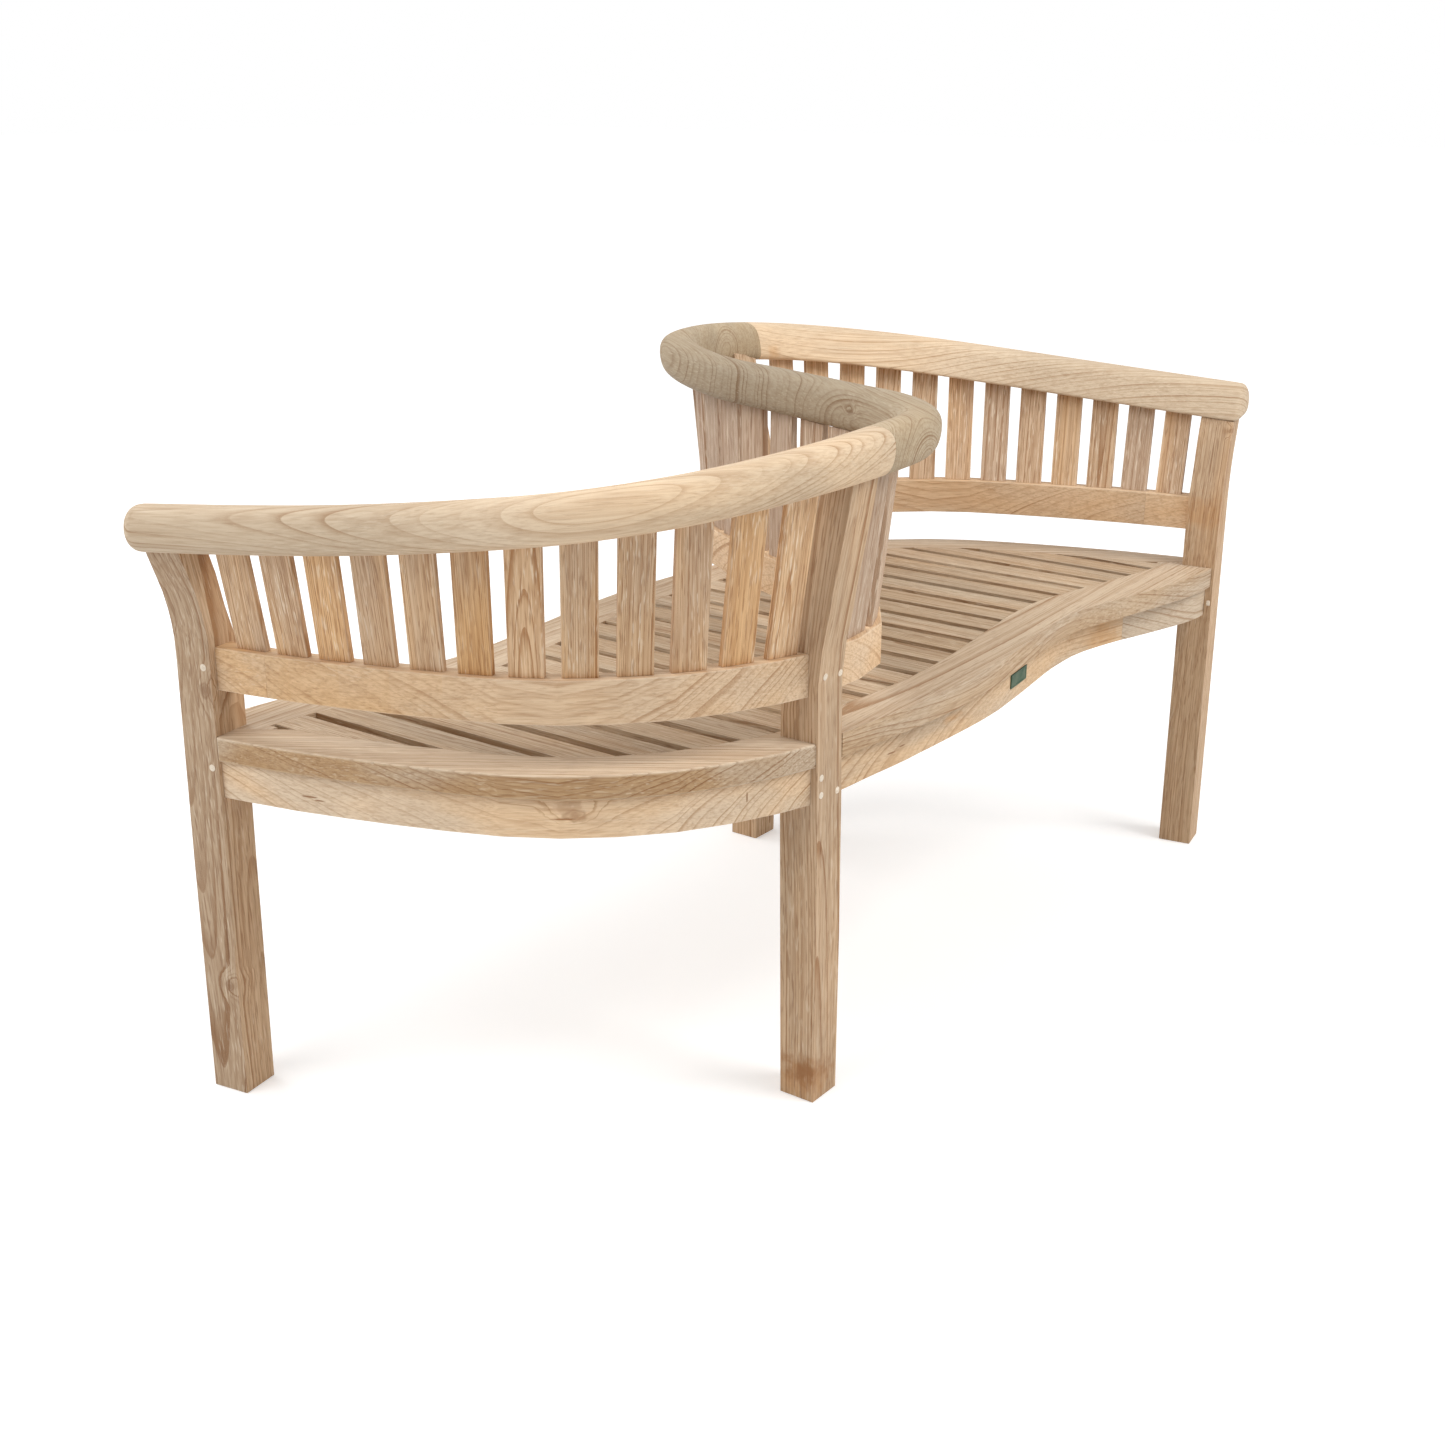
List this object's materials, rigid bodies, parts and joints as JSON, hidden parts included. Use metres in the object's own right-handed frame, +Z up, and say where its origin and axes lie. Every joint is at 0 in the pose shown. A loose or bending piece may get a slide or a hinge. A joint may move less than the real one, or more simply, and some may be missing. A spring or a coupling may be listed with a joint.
{
  "type": "two-seat S-shaped garden bench",
  "caption": "Teak garden bench for two people sitting side by side and facing opposite ways, with one serpentine slatted back and hand rail.",
  "frame": {"origin": "on the floor, at the middle of the bench", "axes": "+Z up; +X along the bench from end post A toward end post B; +Y the way that a person on seat A looks"},
  "size_m": [1.5091, 0.6692, 0.7853],
  "materials": {
    "rail_teak": "sanded, unfinished",
    "bend_teak": "sanded, unfinished, curved grain",
    "post_teak": "sanded, unfinished",
    "slat_teak": "sanded, unfinished",
    "seat_teak": "sanded, unfinished",
    "frame_teak": "sanded, unfinished",
    "plate_green": "painted, bare of any marking"
  },
  "bodies": {
    "root": {"end_post_a": "post_teak", "end_post_b": "post_teak", "bend_post_a": "post_teak", "bend_post_b": "post_teak", "end_apron_a": "frame_teak", "end_apron_b": "frame_teak", "front_apron_b": "frame_teak", "front_apron_a": "frame_teak", "end_board_a": "frame_teak", "end_board_b": "frame_teak", "front_board_b": "frame_teak", "front_board_a": "frame_teak", "front_plate_b": "plate_green", "seat_panel_a": "seat_teak", "seat_panel_middle": "seat_teak", "seat_panel_b": "seat_teak", "lower_rail_a": "frame_teak", "lower_rail_b": "frame_teak", "lower_rail_centre": "frame_teak", "hand_rail_end_a": "rail_teak", "hand_rail_centre": "bend_teak", "hand_rail_end_b": "rail_teak", "back_slat_a_01": "slat_teak", "back_slat_b_01": "slat_teak", "back_slat_a_02": "slat_teak", "back_slat_b_02": "slat_teak", "back_slat_a_03": "slat_teak", "back_slat_b_03": "slat_teak", "back_slat_a_04": "slat_teak", "back_slat_b_04": "slat_teak", "back_slat_a_05": "slat_teak", "back_slat_b_05": "slat_teak", "back_slat_a_06": "slat_teak", "back_slat_b_06": "slat_teak", "back_slat_a_07": "slat_teak", "back_slat_b_07": "slat_teak", "back_slat_a_08": "slat_teak", "back_slat_b_08": "slat_teak", "back_slat_a_09": "slat_teak", "back_slat_b_09": "slat_teak", "back_slat_a_10": "slat_teak", "back_slat_b_10": "slat_teak", "back_slat_a_11": "slat_teak", "back_slat_b_11": "slat_teak", "back_slat_a_12": "slat_teak", "back_slat_b_12": "slat_teak", "centre_slat_01": "slat_teak", "centre_slat_02": "slat_teak", "centre_slat_03": "slat_teak", "centre_slat_04": "slat_teak", "centre_slat_05": "slat_teak", "centre_slat_06": "slat_teak", "centre_slat_07": "slat_teak", "centre_slat_08": "slat_teak", "centre_slat_09": "slat_teak", "centre_slat_10": "slat_teak", "centre_slat_11": "slat_teak", "centre_slat_12": "slat_teak", "centre_slat_13": "slat_teak"}
  },
  "joints": []
}
